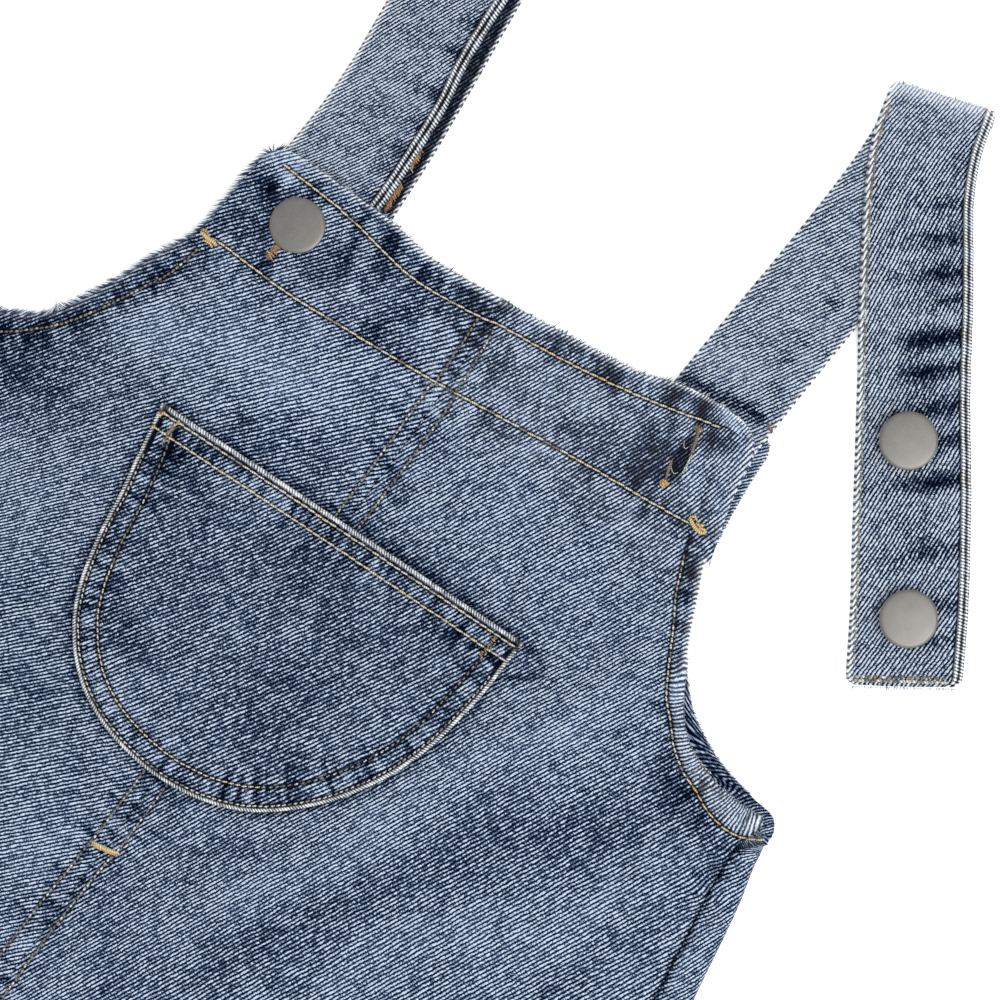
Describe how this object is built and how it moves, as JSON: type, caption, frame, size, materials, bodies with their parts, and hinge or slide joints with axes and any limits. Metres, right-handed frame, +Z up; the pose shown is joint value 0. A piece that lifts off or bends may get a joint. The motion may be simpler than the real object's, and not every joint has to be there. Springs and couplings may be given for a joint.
{
  "type": "kids dungarees",
  "caption": "Child's denim bib dungarees laid flat: bib with half-moon pocket, one strap buttoned behind the bib, the other loose, long straight legs.",
  "frame": {"origin": "bottom centre of the garment's box, on the surface it lies on", "axes": "+Z up from the surface, +Y towards the shoulders, +X to the right of someone looking down on the garment's front"},
  "size_m": [0.3758, 0.8492, 0.0099],
  "materials": {
    "denim_body": "matte",
    "denim_pocket": "matte",
    "denim_straps": "matte",
    "button_metal": "satin",
    "thread": "matte"
  },
  "bodies": {
    "root": {"front_left": "denim_body", "front_right": "denim_body", "back_left": "denim_body", "back_right": "denim_body", "pocket": "denim_pocket", "strap_left": "denim_straps", "strap_right": "denim_straps", "button_left_upper": "button_metal", "button_left_lower": "button_metal", "button_right_upper": "button_metal", "button_right_lower": "button_metal"}
  },
  "joints": []
}
